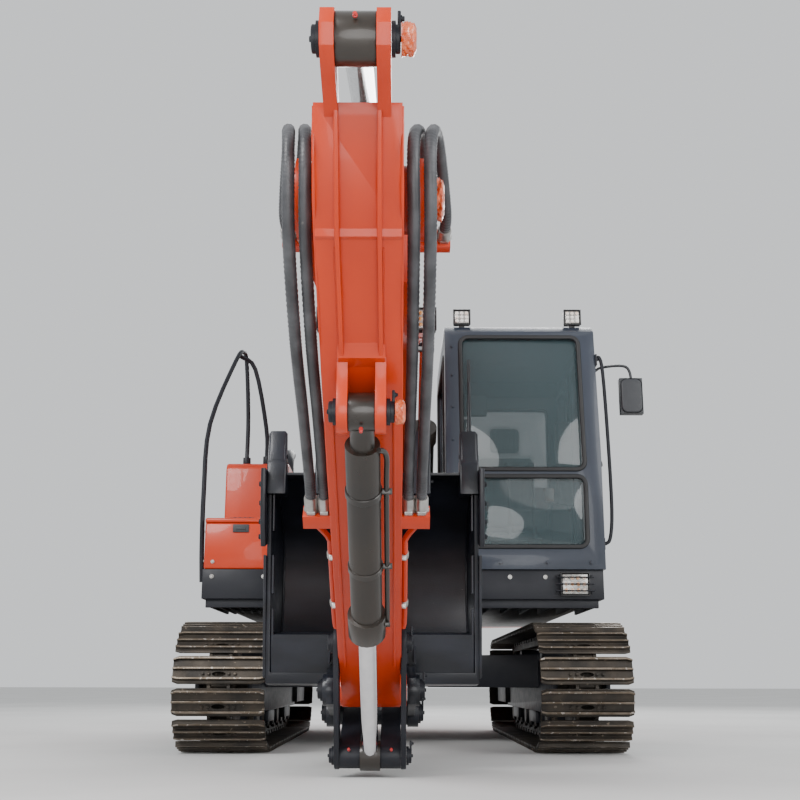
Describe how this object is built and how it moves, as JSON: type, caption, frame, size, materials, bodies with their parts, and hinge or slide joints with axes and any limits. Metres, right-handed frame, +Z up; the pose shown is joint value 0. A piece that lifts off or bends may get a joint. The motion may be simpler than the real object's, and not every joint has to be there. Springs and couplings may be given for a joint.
{
  "type": "crawler excavator",
  "caption": "Crawler excavator with swinging upper structure, glazed cab, boom, arm and bucket, moved by cylinders, on two fixed track loops.",
  "frame": {"origin": "middle of the machine's footprint on the ground, under the middle of its outer box", "axes": "+Z up, -Y forward (the boom's way), +X the machine's left, the cab side"},
  "size_m": [3.1913, 9.3505, 3.445],
  "materials": {
    "orange": "satin",
    "cab_grey": "satin",
    "black": "satin",
    "bucket_black": "semi-gloss",
    "track_steel": "matte",
    "cylinder_black": "satin",
    "chrome": "polished",
    "glass": "polished",
    "seat": "matte",
    "lamp": "satin",
    "rubber": "matte"
  },
  "bodies": {
    "undercarriage": {"car_body": "black", "swing_bearing": "black", "left_track_frame": "black", "right_track_frame": "black", "left_track": "track_steel", "right_track": "track_steel", "left_idler": "track_steel", "right_idler": "track_steel", "left_sprocket": "track_steel", "right_sprocket": "track_steel"},
    "upper": {"revolving_frame": "black", "counterweight": "orange", "engine_block": "black", "left_housing": "orange", "right_housing": "orange", "hydraulic_tank": "orange", "fuel_tank": "orange", "tool_box": "orange", "cab_frame": "cab_grey", "windscreen_upper": "glass", "windscreen_lower": "glass", "rear_window": "glass", "right_window": "glass", "left_rear_window": "glass", "operator_seat": "seat", "left_console": "seat", "right_console": "seat", "handrail": "black", "grab_handle": "black", "mirror": "black", "right_roof_lamp": "lamp", "left_roof_lamp": "lamp", "skirt_lamp": "lamp"},
    "cab_door": {"cab_door": "cab_grey", "door_window": "glass"},
    "engine_hood": {"engine_hood": "orange"},
    "left_side_door": {"left_side_door": "orange"},
    "right_side_door": {"right_side_door": "orange"},
    "tool_box_lid": {"tool_box_lid": "orange"},
    "boom": {"boom": "orange", "right_boom_lamp": "lamp", "left_boom_lamp": "lamp"},
    "lift_tubes": {"left_lift_tube": "cylinder_black", "right_lift_tube": "cylinder_black"},
    "lift_rods": {"left_lift_rod": "chrome", "right_lift_rod": "chrome"},
    "arm_tube": {"arm_cylinder_tube": "cylinder_black"},
    "arm_rod": {"arm_cylinder_rod": "chrome"},
    "arm": {"arm": "orange", "left_inner_hose": "rubber", "left_outer_hose": "rubber", "right_inner_hose": "rubber", "right_outer_hose": "rubber"},
    "bucket_tube": {"bucket_cylinder_tube": "cylinder_black"},
    "bucket_rod": {"bucket_cylinder_rod": "chrome"},
    "guide_links": {"left_guide_link": "black", "right_guide_link": "black"},
    "bucket": {"bucket": "bucket_black"},
    "bucket_link": {"bucket_link": "black"}
  },
  "joints": [
    {"name": "swing", "type": "hinge", "parent": "undercarriage", "child": "upper", "pos_m": [-0.105, 1.835, 0.95], "axis": [0, 0, 1], "continuous": true},
    {"name": "boom_lift", "type": "hinge", "parent": "upper", "child": "boom", "pos_m": [-0.275, 1.785, 1.82], "axis": [-1, 0, 0], "range_deg": [-43, 57]},
    {"name": "lift_tube_tilt", "type": "hinge", "parent": "upper", "child": "lift_tubes", "pos_m": [-0.275, 1.215, 1.24], "axis": [-1, 0, 0], "range_deg": [-43.87, 58.14]},
    {"name": "lift_rod_slide", "type": "slide", "parent": "lift_tubes", "child": "lift_rods", "axis": [0, -0.8045, 0.594], "range_m": [-0.50055, 0.66336]},
    {"name": "arm_reach", "type": "hinge", "parent": "boom", "child": "arm", "pos_m": [-0.275, -3.935, 2.16], "axis": [-1, 0, 0], "range_deg": [0, 105], "deforming": ["left_inner_hose", "left_outer_hose", "right_inner_hose", "right_outer_hose"]},
    {"name": "arm_tube_tilt", "type": "hinge", "parent": "boom", "child": "arm_tube", "pos_m": [-0.275, -1.115, 3.36], "axis": [-1, 0, 0], "range_deg": [0, 6.31]},
    {"name": "arm_rod_slide", "type": "slide", "parent": "arm_tube", "child": "arm_rod", "axis": [0, -0.9647, -0.2633], "range_m": [-1.10006, 0]},
    {"name": "bucket_dump", "type": "hinge", "parent": "arm", "child": "bucket", "pos_m": [-0.275, -1.75456, 0.41938], "axis": [-1, 0, 0], "range_deg": [0, 160]},
    {"name": "guide_link_swing", "type": "hinge", "parent": "arm", "child": "guide_links", "pos_m": [-0.275, -2.08588, 0.64548], "axis": [-1, 0, 0], "range_deg": [0, 94.81]},
    {"name": "bucket_tube_tilt", "type": "hinge", "parent": "arm", "child": "bucket_tube", "pos_m": [-0.275, -3.68904, 1.42624], "axis": [-1, 0, 0], "range_deg": [0, 9.61]},
    {"name": "bucket_rod_slide", "type": "slide", "parent": "bucket_tube", "child": "bucket_rod", "axis": [0, 0.8078, -0.5895], "range_m": [-0.80335, 0]},
    {"name": "bucket_link_swing", "type": "hinge", "parent": "bucket", "child": "bucket_link", "pos_m": [-0.275, -1.39441, 0.29817], "axis": [-1, 0, 0], "range_deg": [-118.41, 0]},
    {"name": "cab_door_hinge", "type": "hinge", "parent": "upper", "child": "cab_door", "pos_m": [1.288, 0.953, 2], "axis": [0, 0, 1], "range_deg": [0, 160]},
    {"name": "hood_hinge", "type": "hinge", "parent": "upper", "child": "engine_hood", "pos_m": [-0.39, 2.795, 2.0606], "axis": [1, 0, 0], "range_deg": [0, 55]},
    {"name": "left_door_hinge", "type": "hinge", "parent": "upper", "child": "left_side_door", "pos_m": [1.273, 3.6827, 1.6], "axis": [0, 0, 1], "range_deg": [0, 95]},
    {"name": "right_door_hinge", "type": "hinge", "parent": "upper", "child": "right_side_door", "pos_m": [-1.483, 2.2073, 1.6], "axis": [0, 0, 1], "range_deg": [0, 95]},
    {"name": "tool_lid_hinge", "type": "hinge", "parent": "upper", "child": "tool_box_lid", "pos_m": [-1.205, 0.605, 1.55], "axis": [-1, 0, 0], "range_deg": [0, 75]}
  ],
  "couplings": [
    {"joint": "lift_tube_tilt", "follows": "boom_lift", "ratio": 1.0199},
    {"joint": "lift_rod_slide", "follows": "boom_lift", "m_per_rad": 0.6663},
    {"joint": "arm_tube_tilt", "follows": "arm_reach", "ratio": 0.06},
    {"joint": "arm_rod_slide", "follows": "arm_reach", "m_per_rad": -0.6},
    {"joint": "guide_link_swing", "follows": "bucket_dump", "ratio": 0.5925},
    {"joint": "bucket_tube_tilt", "follows": "bucket_dump", "ratio": 0.06},
    {"joint": "bucket_rod_slide", "follows": "bucket_dump", "m_per_rad": -0.2875},
    {"joint": "bucket_link_swing", "follows": "bucket_dump", "ratio": -0.74}
  ]
}
